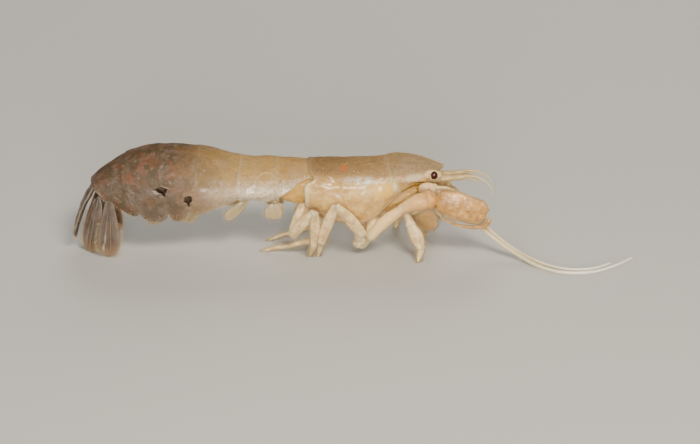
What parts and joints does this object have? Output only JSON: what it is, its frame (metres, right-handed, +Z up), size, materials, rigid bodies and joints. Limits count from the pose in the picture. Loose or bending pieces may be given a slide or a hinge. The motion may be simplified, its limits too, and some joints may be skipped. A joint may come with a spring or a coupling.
{
  "type": "mud shrimp model",
  "caption": "Still life-size model of a small pale burrowing shrimp, a claw raised, tail fan folded under, long feelers swept to one side.",
  "frame": {"origin": "under the middle of the animal's outline, at floor level", "axes": "+X from tail to head, +Y to the animal's left, +Z up; the animal's midline runs along X about 2 mm to the left of the origin because both long feelers sweep to its right"},
  "size_m": [0.0888, 0.0176, 0.0173],
  "materials": {
    "shell": "wet thin cuticle, translucent tan with red-brown mottling towards the tail",
    "limb": "wet thin cuticle, milky cream with warm edges",
    "claw": "wet cuticle, pinkish tan",
    "feeler": "finely ringed, pale cream",
    "fin": "thin translucent blades with ribs",
    "eye": "dark red-brown, polished"
  },
  "bodies": {
    "root": {"abdomen_1": "shell", "abdomen_2": "shell", "abdomen_3": "shell", "abdomen_4": "shell", "abdomen_5": "shell", "abdomen_6": "shell", "antenna_left_base": "limb", "antenna_left_lash": "feeler", "antenna_left_tip": "feeler", "antenna_right_base": "limb", "antenna_right_lash": "feeler", "antenna_right_tip": "feeler", "antennule_left": "feeler", "antennule_right": "feeler", "carapace": "shell", "claw_left_arm": "claw", "claw_left_finger": "claw", "claw_left_palm": "claw", "claw_right_arm": "claw", "claw_right_finger": "claw", "claw_right_palm": "claw", "eye_left": "eye", "eye_right": "eye", "eyestalk_left": "limb", "eyestalk_right": "limb", "head": "shell", "leg_2_left": "limb", "leg_2_right": "limb", "leg_3_left": "limb", "leg_3_right": "limb", "leg_4_left": "limb", "leg_4_right": "limb", "leg_5_left": "limb", "leg_5_right": "limb", "maxilliped_left": "limb", "maxilliped_right": "limb", "mouthparts": "limb", "pleopod_2_left": "fin", "pleopod_2_right": "fin", "pleopod_3_left": "fin", "pleopod_3_right": "fin", "pleopod_4_left": "fin", "pleopod_4_right": "fin", "pleopod_5_left": "fin", "pleopod_5_right": "fin", "telson": "fin", "uropod_left_inner": "fin", "uropod_left_outer": "fin", "uropod_right_inner": "fin", "uropod_right_outer": "fin"}
  },
  "joints": []
}
